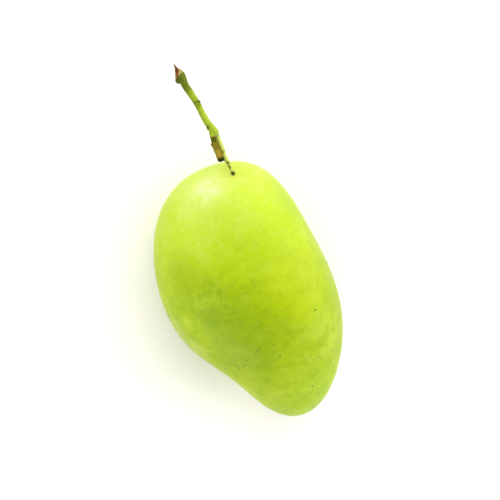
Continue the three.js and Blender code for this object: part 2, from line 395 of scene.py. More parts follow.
# %% [markdown]
# Laying it down
# The rule describes the fruit in its own frame, with its length along Y. The solid lies in balance: its nose
# dips and its back rises a little. The same turn, and the shift that sets the turned fruit into the solid's
# box, give one matrix that also lays down everything that grows on the fruit.

# %% The move from the fruit's own frame to the floor
NOSE_DIP = math.radians(4.3)
BACK_RISE = math.radians(3.6)

turned = Matrix.Rotation(NOSE_DIP, 4, "X") @ Matrix.Rotation(-BACK_RISE, 4, "Y") @ Matrix.Scale(MM, 4)
fruit_mesh.transform(turned)
places, _ = points_of(fruit_mesh)
low, high = places.min(0), places.max(0)
solid_low, solid_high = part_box("fruit")
shift = Vector(
    (
        (solid_low.x + solid_high.x - low[0] - high[0]) / 2,
        (solid_low.y + solid_high.y - low[1] - high[1]) / 2,
        solid_high.z - high[2],
    )
)
LAID = Matrix.Translation(shift) @ turned
places += np.array(shift)
places[:, 2] = np.maximum(places[:, 2], 0)
move_to(fruit_mesh, places)
print("the fruit's own middle lies at", [round(v / MM, 2) for v in LAID.translation], "mm")

# %% [markdown]
# The camera
# The photograph looks at the fruit's upper cheek from 700 mm, tilted 24 degrees towards the stalk end and
# rolled so that the stalk points up and to the left. A long lens keeps the shape free of distortion. The
# camera is set in the fruit's own frame, by where the fruit's middle falls in the picture.

# %% The camera
PICTURE = 500  # pixels across and down
PIXELS_PER_MM = 2.2506
MIDDLE_IN_PICTURE = (248.13, 287.78)
CAMERA_DISTANCE = 700.0
CAMERA_TILT = math.radians(24)
CAMERA_ROLL = math.radians(14.53)
SENSOR = 36.0

own_turn = LAID.to_3x3().normalized()
back = own_turn @ Vector((0, math.sin(CAMERA_TILT), math.cos(CAMERA_TILT)))
level_right = own_turn @ Vector((1, 0, 0))
level_up = back.cross(level_right)
right = level_right * math.cos(CAMERA_ROLL) - level_up * math.sin(CAMERA_ROLL)
up = level_right * math.sin(CAMERA_ROLL) + level_up * math.cos(CAMERA_ROLL)
eye = LAID.translation + back * CAMERA_DISTANCE * MM
aside = (PICTURE / 2 - MIDDLE_IN_PICTURE[0]) / PIXELS_PER_MM * MM
above = (MIDDLE_IN_PICTURE[1] - PICTURE / 2) / PIXELS_PER_MM * MM
aim = LAID.translation + right * aside + up * above
look_back = (eye - aim).normalized()
look_right = up.cross(look_back).normalized()
look_up = look_back.cross(look_right)

camera_data = bpy.data.cameras.new("camera")
camera_data.sensor_width = SENSOR
camera_data.lens = PIXELS_PER_MM * CAMERA_DISTANCE / PICTURE * SENSOR
camera = new_object("camera", camera_data)
camera.matrix_world = Matrix.Translation(eye) @ Matrix((look_right, look_up, look_back)).transposed().to_4x4()
bpy.context.scene.camera = camera
print("lens", round(camera_data.lens, 1), "mm")


# %% A helper that finds the skin behind a pixel
fruit_surface = BVHTree.FromPolygons(
    [vertex.co for vertex in fruit_mesh.vertices],
    [face.vertices for face in fruit_mesh.polygons],
)


def skin_behind(pixel_x, pixel_y):
    """The point of the skin that a pixel of the picture shows, in metres, and the skin's normal there."""
    across = (pixel_x - PICTURE / 2) / PICTURE * SENSOR
    down = (pixel_y - PICTURE / 2) / PICTURE * SENSOR
    ray = look_right * across - look_up * down - look_back * camera_data.lens
    place, normal, *_ = fruit_surface.ray_cast(eye, ray.normalized())
    return place, normal


print("the skin in the middle of the picture:", skin_behind(250, 250)[0][:])

# %% [markdown]
# Painting the skin
# Unripe mango skin is green, yellower where it will ripen first. Its wax gives a soft wide gloss, and the
# pale flesh under it lets light through a little, so edges and shadows look soft. The colour runs along the
# fruit's length, with its borders made wavy by a large noise, and clouds and scuffs lie over it. The pale
# dots that stand on the skin use the same paint, only lighter, so one function paints both.

# %% The skin's paint
NOSE, SHOULDER = solid_low.y / MM, solid_high.y / MM
LENGTHWISE_PAINT = [
    (0.0, "#98b81c"),
    (0.22, "#98ae14"),
    (0.42, "#92a808"),
    (0.6, "#9ab20a"),
    (0.78, "#a7c01a"),
    (1.0, "#b6cb3e"),
]
DEEP_GREEN = "#6f8c04"
DEEP_UP_TO = (0.85, 0.6)  # shares of the way to the shoulder where the dark mottles start and are full
PALE_FROM = (0.6, 0.95)
MOTTLES = [  # where, size in millimetres, where the noise starts and is full, seed, strength, colour
    (DEEP_UP_TO, 14, 0.45, 0.7, 31, 0.25, DEEP_GREEN),
    (DEEP_UP_TO, 9, 0.5, 0.72, 57, 0.2, "#bccb52"),
    (DEEP_UP_TO, 3.6, 0.46, 0.68, 83, 0.3, DEEP_GREEN),
    (DEEP_UP_TO, 1.7, 0.5, 0.72, 29, 0.25, DEEP_GREEN),
    (PALE_FROM, 7, 0.42, 0.66, 91, 0.08, "#dce39a"),
    (PALE_FROM, 2.4, 0.48, 0.7, 97, 0.1, "#dce39a"),
]
WAVY_BORDER = 16.0  # millimetres that a border of two greens wanders along the fruit
BORDER_CLOUDS = 30  # the size of the clouds that it wanders with


def skin_paint(tree, here):
    """The skin's own colour at a place, without scuffs or stains."""
    drift = clouds(tree, here, BORDER_CLOUDS, 0.3, 0.7, detail=1, seed=7)
    lengthwise = add(tree, "ShaderNodeSeparateXYZ", {0: here})[1]
    wavy = add(tree, "ShaderNodeMath", {0: drift, 1: WAVY_BORDER, 2: lengthwise}, operation="MULTIPLY_ADD")[0]
    ends = {0: wavy, 1: NOSE + WAVY_BORDER / 2, 2: SHOULDER + WAVY_BORDER / 2}
    share = add(tree, "ShaderNodeMapRange", ends)[0]
    ramp = tree.nodes.new("ShaderNodeValToRGB")
    while len(ramp.color_ramp.elements) < len(LENGTHWISE_PAINT):
        ramp.color_ramp.elements.new(0.5)
    for element, (place, code) in zip(ramp.color_ramp.elements, LENGTHWISE_PAINT):
        element.position = place
        element.color = colour(code)
    tree.links.new(share, ramp.inputs[0])
    paint = ramp.outputs[0]
    for (start, full), size, low, high, seed, strength, code in MOTTLES:
        patches = clouds(tree, here, size, low, high, seed=seed)
        there = add(tree, "ShaderNodeMapRange", {0: share, 1: start, 2: full})[0]
        patches_there = add(tree, "ShaderNodeMath", {0: patches, 1: there}, operation="MULTIPLY")[0]
        paint = coat(tree, paint, patches_there, strength, code)
    return paint


print("the paint runs from", round(NOSE), "to", round(SHOULDER), "mm")

# %% [markdown]
# Scuffs are short fine strokes that cross each other where leaves rubbed on the fruit, mostly on the belly's
# half of this cheek. Noise stretched along one way gives strokes, and a broad mask keeps them to their belt.

# %% The scuffs
SCUFFED = [((238, 361), 3, 8, 1.0), ((212, 300), 4, 16, 0.3)]  # pixel, full within, fades over, strength
SCUFF_GREEN = "#6a7c1a"
SCUFF_STRENGTH = 0.6
SCUFFED_ELSEWHERE = 0.08
STROKES = [  # size in millimetres, where the noise starts and is full, seed, stretch
    (1.2, 0.54, 0.7, 11, (1, 0.45, 1)),
    (1.4, 0.56, 0.72, 19, (0.5, 1, 1)),
]


def scuffs(tree, here):
    """A mask of fine crossing strokes, dense in the scuffed places and thin elsewhere."""
    dense = SCUFFED_ELSEWHERE
    for pixel, full, fade, strength in SCUFFED:
        near = spot(tree, here, skin_behind(*pixel)[0] / MM, full, fade)
        dense = add(tree, "ShaderNodeMath", {0: near, 1: strength, 2: dense}, operation="MULTIPLY_ADD")[0]
    ways = [clouds(tree, here, *noise, seed=seed, stretch=stretch) for *noise, seed, stretch in STROKES]
    either = add(tree, "ShaderNodeMath", {0: ways[0], 1: ways[1]}, operation="MAXIMUM")[0]
    return add(tree, "ShaderNodeMath", {0: either, 1: dense}, operation="MULTIPLY")[0]


print("scuffed places:", [[round(c) for c in skin_behind(*pixel)[0] / MM] for pixel, *_ in SCUFFED])

# %% The skin's finish
FOOT_STAIN = "#c2ba3c"
STAIN_STRENGTH = 0.3
# Soft patches: greens and an orange-brown edge that are the skin's own, and painted light and shade.
SKIN_TONES_AND_PAINTED_LIGHT = [  # pixel, full within, fades over, size of the clouds that break it up, strength, colour
    # a painted highlight on the upper shoulder, in two layers
    ((206, 187), 2, 16, None, 0.3, "#d9dc96"),
    ((207, 189), 2, 7.5, 4, 0.36, "#d4e4c0"),
    # deeper green in the middle of the cheek, partly the skin's own tone and partly painted shade
    ((243, 326), 2, 24, None, 0.46, DEEP_GREEN),
    ((210, 306), 5, 12, 3.5, 0.4, DEEP_GREEN),
    ((324, 336), 4, 16, 7, 0.26, "#ccd950"),
    ((300, 275), 4, 22, None, 0.3, "#b5bf0c"),
    ((231, 264), 3, 10, None, 0.28, "#b2cb14"),
    ((309, 308), 3, 9, None, 0.28, "#bdd01a"),
    # painted shade on the upper right of the cheek
    ((287, 198), 4, 15, None, 0.5, "#8ea81a"),
    ((308, 230), 2, 10, None, 0.22, "#8ea81a"),
    # painted pale rims on the lower left, a painted reflection of the bright room
    ((176, 326), 1, 8, None, 0.2, "#d4dc8c"),
    ((195, 348), 1, 9, None, 0.17, "#d4dc8c"),
    ((184, 276), 3, 12, None, 0.42, "#8b9e00"),
    ((209, 318), 2, 6, None, 0.4, DEEP_GREEN),
    ((259, 357), 3, 9, None, 0.36, DEEP_GREEN),
    ((184, 300), 2, 9, None, 0.25, DEEP_GREEN),
    ((340, 322), 0.5, 5, 3, 0.3, "#b08f2a"),
]

here = in_millimetres(skin_nodes)
paint = skin_paint(skin_nodes, here)
for pixel, full, fade, broken_by, strength, code in SKIN_TONES_AND_PAINTED_LIGHT:
    patch = spot(skin_nodes, here, skin_behind(*pixel)[0] / MM, full, fade)
    if broken_by:
        broken = clouds(skin_nodes, here, broken_by, 0.35, 0.62, seed=62)
        patch = add(skin_nodes, "ShaderNodeMath", {0: patch, 1: broken}, operation="MULTIPLY")[0]
    paint = coat(skin_nodes, paint, patch, strength, code)
paint = coat(skin_nodes, paint, scuffs(skin_nodes, here), SCUFF_STRENGTH, SCUFF_GREEN)
at_foot = spot(skin_nodes, here, LAID @ STALK_FOOT / MM, 1, 6)
paint = coat(skin_nodes, paint, at_foot, STAIN_STRENGTH, FOOT_STAIN)
finish_surface(skin_nodes, skin_shader, paint, here, grain=0.9, depth=0.02, detail=2, seed=3)
piece_of("fruit_skin", fruit_mesh, "skin", "fruit")

# %% [markdown]
# Pale dots
# A mango breathes through corky pale dots, about half a millimetre wide and three millimetres apart. There
# are more than a thousand, so they are scattered by a Geometry Nodes tree. It keeps them apart from each
# other, turns each one to the skin, varies its size and leaves out those that the fruit lies on.

# %% A tree that scatters dots over the skin
SMALLEST_DOT = 0.5  # as a share of the widest
DOT_SIZES = {
    "Least gap": 3.0 * MM,
    "Most per square metre": 200000.0,
    "Dot radius": 0.25 * MM,
    "Dot height": 0.05 * MM,
    "Lowest": 1.2 * MM,
}
tree, given = new_tree("Dots on the skin", Float=DOT_SIZES, Int=["Seed"], Material=["Paint"])
scatter = {
    "Mesh": given["Geometry"],
    "Distance Min": given["Least gap"],
    "Density Max": given["Most per square metre"],
    "Seed": given["Seed"],
}
spread = add(tree, "GeometryNodeDistributePointsOnFaces", scatter, distribute_method="POISSON")
height = add(tree, "ShaderNodeSeparateXYZ", {0: add(tree, "GeometryNodeInputPosition")[0]})[2]
clear = add(tree, "FunctionNodeCompare", {0: height, 1: given["Lowest"]}, operation="GREATER_THAN")[0]
dot = add(tree, "GeometryNodeMeshUVSphere", {"Segments": 8, "Rings": 4, "Radius": 1.0})[0]
dot_size = {0: given["Dot radius"], 1: given["Dot radius"], 2: given["Dot height"]}
flat_dot = {"Geometry": dot, "Scale": add(tree, "ShaderNodeCombineXYZ", dot_size)[0]}
varied = add(tree, "FunctionNodeRandomValue", {2: SMALLEST_DOT, 3: 1.0, "Seed": given["Seed"]})[1]
placed = {
    "Points": spread["Points"],
    "Selection": clear,
    "Instance": add(tree, "GeometryNodeTransform", flat_dot)[0],
    "Rotation": spread["Rotation"],
    "Scale": varied,
}
dots_tree = finish_tree(tree, add(tree, "GeometryNodeInstanceOnPoints", placed)[0], given["Paint"])

# %% The dots
DOT_CORK = "#cfd87c"
DOT_TINT = 0.1
DOTS_SEED = 12

dot_paint, tree, shader = new_material("pale corky breathing dots", Roughness=0.6, IOR=1.38)
here = in_millimetres(tree)
paint = coat(tree, skin_paint(tree, here), clouds(tree, here, 6, 0.2, 0.6, seed=44), DOT_TINT, DOT_CORK)
finish_surface(tree, shader, paint, here, grain=0.15, depth=0.01, seed=8)

dots = grown(dots_tree, fruit_mesh, **DOT_SIZES, Seed=DOTS_SEED, Paint=dot_paint)
piece_of("breathing_dots", dots, "skin")

# %% [markdown]
# Specks and scars
# The skin carries dark specks of dried sap and sooty bloom, a short dark slit and a few thin scars. Those
# that the picture shows are placed by their pixels, from one end of the mark to the other, on the skin behind
# them. The other side gets its own by a seeded draw. Each is a thin, uneven scab on the skin.

# %% Where the marks are
SEEN_MARKS = [  # a pixel at each end of the mark, its width in millimetres, and how dark it is
    ((314.6, 310.2), (315.6, 309.9), 0.85, 0.8),
    ((285.8, 309), (286.4, 309.2), 0.45, 0.35),
    ((273.6, 345), (274.6, 345.4), 0.5, 0.6),
    ((279.6, 356), (280.8, 356.2), 0.6, 0.7),
    ((290.8, 354), (291.4, 354.4), 0.45, 0.45),
    ((273.8, 360.4), (274.4, 360.8), 0.45, 0.4),
    ((319, 356), (321, 358.4), 0.5, 0.45),
    ((329.8, 358), (330.4, 358.2), 0.4, 0.35),
    ((312.6, 386), (313.6, 386.6), 0.65, 0.7),
    ((317.6, 393), (318.4, 393.2), 0.5, 0.5),
    ((234.4, 366), (236, 366.2), 0.45, 0.5),
    ((241.4, 367), (243, 367.4), 0.5, 0.5),
    ((237.6, 319), (238.4, 319.2), 0.5, 0.35),
    ((258.6, 321), (259.4, 321.4), 0.45, 0.3),
    ((169.8, 266), (170.4, 266.2), 0.4, 0.35),
    ((255, 353), (260.4, 347.6), 0.5, 0.65),
    ((230, 359), (236, 362), 0.25, 0.12),
    ((240, 361), (247, 358.6), 0.25, 0.12),
]
UNSEEN_MARKS = 26
UNSEEN_LENGTHS = (0.1, 1.2)
UNSEEN_WIDTHS = (0.3, 0.75)
UNSEEN_DARKNESS = (0.3, 1)
TURNED_AWAY = 0.15  # a mark faces the camera by less than this share, so the picture doesn't show it
OFF_THE_FLOOR = 2.0
WELL_OUTSIDE = 200.0  # millimetres from the fruit's middle, where the rays that look for places start
MARK_THICKNESS = 0.08

marks = []
for start, end, width, dark in SEEN_MARKS:
    first, first_normal = skin_behind(*start)
    last, last_normal = skin_behind(*end)
    outwards = (first_normal + last_normal).normalized()
    marks.append(((first + last) / 2, outwards, last - first, width * MM, dark))
mark_draw = np.random.default_rng(17)
fruit_middle = LAID.translation
while len(marks) < len(SEEN_MARKS) + UNSEEN_MARKS:
    way = Vector(mark_draw.normal(size=3)).normalized()
    place, normal, *_ = fruit_surface.ray_cast(fruit_middle + way * (WELL_OUTSIDE * MM), -way)
    level = normal.cross(Vector(mark_draw.normal(size=3))).normalized()
    along = level * mark_draw.uniform(*UNSEEN_LENGTHS) * MM
    if normal.dot(look_back) < TURNED_AWAY and place.z > OFF_THE_FLOOR * MM:
        width = mark_draw.uniform(*UNSEEN_WIDTHS) * MM
        marks.append((place, normal, along, width, mark_draw.uniform(*UNSEEN_DARKNESS)))
print("marks:", len(SEEN_MARKS), "that the picture shows and", UNSEEN_MARKS, "behind")

# %% A tree that lays a thin scab at each mark
tree, given = new_tree("Scabs at marks", Float=["Unevenness", "Grain"], Material=["Paint"])
read = {}
for label in ("outwards", "along", "size"):
    attribute = add(tree, "GeometryNodeInputNamedAttribute", {"Name": label}, data_type="FLOAT_VECTOR")
    read[label] = attribute[0]
upright = add(tree, "FunctionNodeAlignRotationToVector", {"Vector": read["outwards"]}, axis="Z")[0]
lengthened = {"Rotation": upright, "Vector": read["along"]}
aligned = add(tree, "FunctionNodeAlignRotationToVector", lengthened, axis="X", pivot_axis="Z")[0]
scab = add(tree, "GeometryNodeMeshIcoSphere", {"Radius": 1.0, "Subdivisions": 3})[0]
placed = {"Points": given["Geometry"], "Instance": scab, "Rotation": aligned, "Scale": read["size"]}
laid_scabs = add(tree, "GeometryNodeInstanceOnPoints", placed)[0]
real_scabs = add(tree, "GeometryNodeRealizeInstances", {"Geometry": laid_scabs})[0]
wander = add(tree, "ShaderNodeTexNoise", {"Scale": given["Grain"], "Detail": 2.0})["Color"]
centred = add(tree, "ShaderNodeVectorMath", {0: wander, 1: (0.5, 0.5, 0.5)}, operation="SUBTRACT")[0]
moved = {0: centred, "Scale": given["Unevenness"]}
offset = add(tree, "ShaderNodeVectorMath", moved, operation="SCALE")[0]
uneven = add(tree, "GeometryNodeSetPosition", {"Geometry": real_scabs, "Offset": offset})[0]
scab_tree = finish_tree(tree, uneven, given["Paint"])

# %% The specks and scars
SCAB_BROWN = "#3c3a0e"
SCAB_OLIVE = "#86961a"
SCAB_UNEVENNESS = 0.35
SCAB_GRAIN = 0.7

scab_paint, tree, shader = new_material("dried sap and sooty specks", Roughness=0.8, IOR=1.45)
here = in_millimetres(tree)
darkness = add(tree, "ShaderNodeAttribute", attribute_name="darkness")["Fac"]
paint = coat(tree, colour(SCAB_OLIVE), darkness, 1.0, SCAB_BROWN)
finish_surface(tree, shader, paint, here, grain=0.2, depth=0.02, seed=5)

mark_points = bpy.data.meshes.new("mark points")
mark_points.from_pydata([place for place, *_ in marks], [], [])
stored = {"outwards": [], "along": [], "size": []}
for _, outwards, along, width, _ in marks:
    stored["outwards"].extend(outwards)
    stored["along"].extend(along.normalized())
    stored["size"].extend((along.length / 2 + width / 2, width / 2, MARK_THICKNESS * MM))
for label, values in stored.items():
    mark_points.attributes.new(label, "FLOAT_VECTOR", "POINT").data.foreach_set("vector", values)
darknesses = [mark[-1] for mark in marks]
mark_points.attributes.new("darkness", "FLOAT", "POINT").data.foreach_set("value", darknesses)
form = {"Unevenness": SCAB_UNEVENNESS * MM, "Grain": 1 / (SCAB_GRAIN * MM)}
scabs = grown(scab_tree, mark_points, **form, Paint=scab_paint)
piece_of("specks_and_scars", scabs, "skin")

# %% [markdown]
# The stalk
# The stalk carried a whole cluster: it runs from the torn end, where it was picked, down to a fork. There the
# fruit's own thin stalk leaves it, and the rest of it has dried to a stub. All of them follow a path, so one
# Geometry Nodes tree draws each. It makes the path smooth, sweeps a slightly lobed section along it that
# swells and thins with the path's own radius, and closes the ends.

# %% A tree that grows a stalk along a route
kinds = {"Int": ["Steps", "Sides"], "Float": ["Lobes", "Lobe height", "Flatness"], "Material": ["Bark"]}
tree, given = new_tree("Stalk along a route", **kinds)
rough_route = {"Curve": given["Geometry"]}
smooth_route = add(tree, "GeometryNodeCurveSplineType", rough_route, spline_type="CATMULL_ROM")[0]
stepped = add(tree, "GeometryNodeResampleCurve", {"Curve": smooth_route, "Count": given["Steps"]})[0]
section = add(tree, "GeometryNodeCurvePrimitiveCircle", {"Resolution": given["Sides"], "Radius": 1.0})[0]
place = add(tree, "GeometryNodeInputPosition")[0]
x, y, z = add(tree, "ShaderNodeSeparateXYZ", {0: place})
turn = add(tree, "ShaderNodeMath", {0: y, 1: x}, operation="ARCTAN2")[0]
angle = add(tree, "ShaderNodeMath", {0: turn, 1: given["Lobes"]}, operation="MULTIPLY")[0]
lobe = add(tree, "ShaderNodeMath", {0: angle}, operation="COSINE")[0]
swing = {0: lobe, 1: given["Lobe height"], 2: 1.0}
radius = add(tree, "ShaderNodeMath", swing, operation="MULTIPLY_ADD")[0]
thin = add(tree, "ShaderNodeMath", {0: 1.0, 1: given["Flatness"]}, operation="SUBTRACT")[0]
squash = add(tree, "ShaderNodeCombineXYZ", {0: 1.0, 1: thin, 2: 1.0})[0]
lobed_place = add(tree, "ShaderNodeVectorMath", {0: place, "Scale": radius}, operation="SCALE")[0]
flattened = add(tree, "ShaderNodeVectorMath", {0: lobed_place, 1: squash}, operation="MULTIPLY")[0]
lobed = add(tree, "GeometryNodeSetPosition", {"Geometry": section, "Position": flattened})[0]
sweep = {"Curve": stepped, "Profile Curve": lobed, "Scale": add(tree, "GeometryNodeInputRadius")[0]}
swept = add(tree, "GeometryNodeCurveToMesh", {**sweep, "Fill Caps": True})[0]
stalk_tree = finish_tree(tree, swept, given["Bark"])

# %% [markdown]
# Bark has fibres that run along it. A second tree raises them on a finished stalk: noise stretched along the
# stalk, which runs along Y, moves the surface in and out. Dry bark gets them deeper than green bark.

# %% A tree that raises fibres on bark
fibre_sizes = ["Fibre height", "Fibre width", "Fibre length", "Shift"]
tree, given = new_tree("Bark fibres", Float=fibre_sizes, Material=["Bark"])
width = add(tree, "ShaderNodeMath", {0: 1.0, 1: given["Fibre width"]}, operation="DIVIDE")[0]
length = add(tree, "ShaderNodeMath", {0: 1.0, 1: given["Fibre length"]}, operation="DIVIDE")[0]
stretch = add(tree, "ShaderNodeCombineXYZ", {0: width, 1: length, 2: width})[0]
place = add(tree, "GeometryNodeInputPosition")[0]
drawn = add(tree, "ShaderNodeVectorMath", {0: place, 1: stretch}, operation="MULTIPLY")[0]
shifted = add(tree, "ShaderNodeVectorMath", {0: drawn, 1: given["Shift"]}, operation="ADD")[0]
fibre = add(tree, "ShaderNodeTexNoise", {"Vector": shifted, "Scale": 1.0, "Detail": 2.0})[0]
from_middle = add(tree, "ShaderNodeMath", {0: fibre, 1: 0.5}, operation="SUBTRACT")[0]
raised = add(tree, "ShaderNodeMath", {0: from_middle, 1: given["Fibre height"]}, operation="MULTIPLY")[0]
normal = add(tree, "GeometryNodeInputNormal")[0]
offset = add(tree, "ShaderNodeVectorMath", {0: normal, "Scale": raised}, operation="SCALE")[0]
fibrous = add(tree, "GeometryNodeSetPosition", {"Geometry": given["Geometry"], "Offset": offset})[0]
fibre_tree = finish_tree(tree, fibrous, given["Bark"])


# %% Helpers for stalks, and for growing meshes together
SOFTENED = 3  # passes of smoothing, which melt the steps of the voxels and the joins


def stalk_along(points, steps, sides, lobes, lobe_height, flatness=0.0):
    """A stalk through points in millimetres in the fruit's own frame, each with the stalk's radius there."""
    curve = bpy.data.curves.new("route", "CURVE")
    curve.dimensions = "3D"
    line = curve.splines.new("POLY")
    line.points.add(len(points) - 1)
    for point, (x, y, z, radius) in zip(line.points, points):
        point.co = (x, y, z, 1)
        point.radius = radius
    form = {"Steps": steps, "Sides": sides, "Lobes": lobes, "Lobe_height": lobe_height, "Flatness": flatness}
    return grown(stalk_tree, curve, **form)


def laid_with_fibres(mesh, bark, height, width, length, shift):
    """A stalk's mesh laid down with the fruit, its bark's fibres raised. Sizes are in millimetres."""
    sizes = dict(zip(fibre_sizes, (height, width, length, shift)))
    fibrous_mesh = grown(fibre_tree, mesh, **sizes, Bark=bark)
    fibrous_mesh.transform(LAID)
    return fibrous_mesh


def grown_together(meshes, grain):
    """Closed meshes fused to one skin with points about a grain apart, and smoothed where they meet."""
    whole = bmesh.new()
    for mesh in meshes:
        whole.from_mesh(mesh)
    joined = bpy.data.meshes.new("joined")
    whole.to_mesh(joined)
    whole.free()
    holder = new_object("joined", joined)
    remesh = holder.modifiers.new("one skin", "REMESH")
    remesh.mode = "VOXEL"
    remesh.voxel_size = grain
    smooth = holder.modifiers.new("soft joins", "SMOOTH")
    smooth.iterations = SOFTENED
    mesh = settled(holder)
    print("one skin of", len(mesh.vertices), "points")
    return mesh


def cut_off(mesh, at, faces):
    """Cuts a closed mesh along a plane, drops what the plane faces, and closes the cut."""
    cut = bmesh.new()
    cut.from_mesh(mesh)
    whole = cut.verts[:] + cut.edges[:] + cut.faces[:]
    bmesh.ops.bisect_plane(cut, geom=whole, plane_co=at, plane_no=faces, clear_outer=True)
    bmesh.ops.holes_fill(cut, edges=[edge for edge in cut.edges if edge.is_boundary])
    cut.to_mesh(mesh)
    cut.free()


def ball(at, radii):
    """A squashed ball, for a bud or a knob."""
    shape = bmesh.new()
    bmesh.ops.create_icosphere(shape, subdivisions=3, radius=1, matrix=Matrix.LocRotScale(at, None, radii))
    mesh = bpy.data.meshes.new("ball")
    shape.to_mesh(mesh)
    shape.free()
    return mesh


# %% Where the stalk runs
FORK = (2.7, 76.2, 4.9)
MAIN_STALK = [  # places in millimetres in the fruit's own frame, and the radius there
    (3.1, 74.6, 5.1, 1.3),
    (*FORK, 1.6),
    (0.9, 80.3, 4.6, 1.5),
    (-0.3, 84.7, 4.2, 1.42),
    (-1.4, 89.8, 3.8, 1.41),
    (-3.0, 94.5, 3.3, 1.55),
    (-4.35, 98.6, 3.0, 1.62),
    (-4.8, 102.2, 2.7, 1.8),
    (-5.8, 106.6, 2.3, 1.6),
]
FRUIT_STALK = [
    (6.5, 53.6, 7.0, 0.9),
    (5.8, 57.4, 6.6, 0.62),
    (5.2, 60.6, 6.4, 0.74),
    (4.3, 64.6, 6.2, 0.98),
    (3.9, 69.2, 5.9, 1.06),
    (3.5, 72.9, 5.3, 1.02),
    (*FORK, 1.3),
]
KNOBS = [  # the bud, the next fruit's scar, a leaf scar, a long scar, and the swelling at the fork
    ((-6.6, 100.9, 2.6), (1.25, 1.45, 1.1)),
    ((3.3, 75.1, 6.0), (0.95, 1.1, 0.9)),
    ((-0.35, 90.2, 4.5), (0.6, 0.7, 0.6)),
    ((0.35, 78.7, 4.8), (0.6, 1.7, 0.8)),
    ((1.7, 76.0, 5.2), (1.35, 1.9, 1.35)),
]
TEAR_AT = Vector((-5.2, 104.1, 2.6))
TEAR_FACES = Vector((0.2, 0.75, 0.63)).normalized()
MAIN_STALK_FORM = (160, 48, 5.0, 0.03)  # steps, sides, lobes, and their height as a share of the radius
FRUIT_STALK_FORM = (100, 32, 4.0, 0.03)
STALK_GRAIN = 0.13

# %% [markdown]
# The torn end is a slanting cut with ragged fibres. The main stalk is cut along the tear's plane before the
# pieces are fused, and afterwards narrow pushes draw out and press in the fibres on the torn face.

# %% The stalk's form
main_stalk = stalk_along(MAIN_STALK, *MAIN_STALK_FORM)
cut_off(main_stalk, TEAR_AT, TEAR_FACES)
fruit_stalk = stalk_along(FRUIT_STALK, *FRUIT_STALK_FORM)
knobs = [ball(at, radii) for at, radii in KNOBS]
stem_mesh = grown_together([main_stalk, fruit_stalk, *knobs], STALK_GRAIN)

# %% Rings, scars and torn fibres
STALK_RUNS = Vector(MAIN_STALK[-1][:3]) - Vector(MAIN_STALK[0][:3])
RINGS = [  # middle, reach across, height, half width. The last two are a groove and a long scar's slit.
    (MAIN_STALK[4], 2.6, 0.26, 0.28),
    (MAIN_STALK[2], 2.4, 0.12, 0.3),
    ((4.7, 62.6, 6.2), 1.5, 0.16, 0.35),
    ((4.1, 67.2, 5.9), 1.6, 0.14, 0.4),
    ((-1.4, 90.9, 3.8), 2.6, -0.12, 0.25),
    ((0.1, 78.9, 5.0), 0.5, -0.25, 1.1),
]
PITS = [((3.1, 75.0, 6.9), 0.55, -0.4), ((-7.1, 100.9, 3.1), 0.5, -0.25)]
for (x, y, z, *_), across, height, half in RINGS:
    push(stem_mesh, (x, y, z), across, height, STALK_RUNS, half)
for at, reach, height in PITS:
    push(stem_mesh, at, reach, height)

TORN_FIBRES = 14
TORN_FIBRE_WIDTH = 0.22
TORN_FIBRE_HEIGHTS = (-0.35, 0.45)
TORN_FIBRE_HALF_LENGTHS = (0.4, 1.1)
TEAR_REACH = (1.5, 1.6)  # across the tear and along its slope
tear_slope = TEAR_FACES.cross(Vector((1, 0, 0))).normalized()
tear_across = TEAR_FACES.cross(tear_slope)
for fibre in range(TORN_FIBRES):
    aside, upwards = (growth_draw.uniform(-reach, reach) for reach in TEAR_REACH)
    at = TEAR_AT + tear_across * aside + tear_slope * upwards
    height = growth_draw.uniform(*TORN_FIBRE_HEIGHTS)
    push(stem_mesh, at, TORN_FIBRE_WIDTH, height, tear_slope, growth_draw.uniform(*TORN_FIBRE_HALF_LENGTHS))
print("rings and grooves:", len(RINGS), "pits:", len(PITS), "torn fibres:", TORN_FIBRES)

# %% [markdown]
# Painting the stalk
# The young stalk is green bark with fine pale streaks along it. It is browner where it was bruised, dark in
# its scars and rings, pale straw where its wood is torn, and the fruit's own stalk is a paler yellow-green.
# Each of these is a soft spot at its own place on the stalk. Light and shade are painted on it too: the side
# away from the light is painted darker as shade, the knob at the fork has painted shade on its far side and a
# painted highlight on its pale scar, and the torn face has a painted highlight.


# %% Helpers that paint a place on the stalk
def laid(point):
    """A place in the fruit's own frame, in millimetres in the object's frame."""
    return LAID @ Vector(point) / MM


def along_way(tree, vector, way):
    """How far a vector reaches along a way of the fruit's own frame."""
    both = {0: vector, 1: own_turn @ way}
    return add(tree, "ShaderNodeVectorMath", both, operation="DOT_PRODUCT")["Value"]


def past_plane(tree, here, at, faces, edge):
    """A mask that is 1 on a cut face of the stalk, and fades to 0 within an edge below it."""
    apart = add(tree, "ShaderNodeVectorMath", {0: here, 1: laid(at)}, operation="SUBTRACT")[0]
    return add(tree, "ShaderNodeMapRange", {0: along_way(tree, apart, faces), 1: -edge, 2: -edge / 3})[0]


def band(tree, here, at, way, half, edge):
    """A mask that is 1 within a half width of the plane across a way, and fades over the edge."""
    apart = add(tree, "ShaderNodeVectorMath", {0: here, 1: laid(at)}, operation="SUBTRACT")[0]
    away = add(tree, "ShaderNodeMath", {0: along_way(tree, apart, way)}, operation="ABSOLUTE")[0]
    return add(tree, "ShaderNodeMapRange", {0: away, 1: half, 2: half + edge, 3: 1.0, 4: 0.0})[0]


def spotted(tree, here, paint, spots):
    """Paint with soft spots on it: each has its middle, full reach, fade, strength and colour."""
    for at, full, fade, strength, code in spots:
        paint = coat(tree, paint, spot(tree, here, laid(at), full, fade), strength, code)
    return paint


print("the fork lies at", laid(FORK)[:])

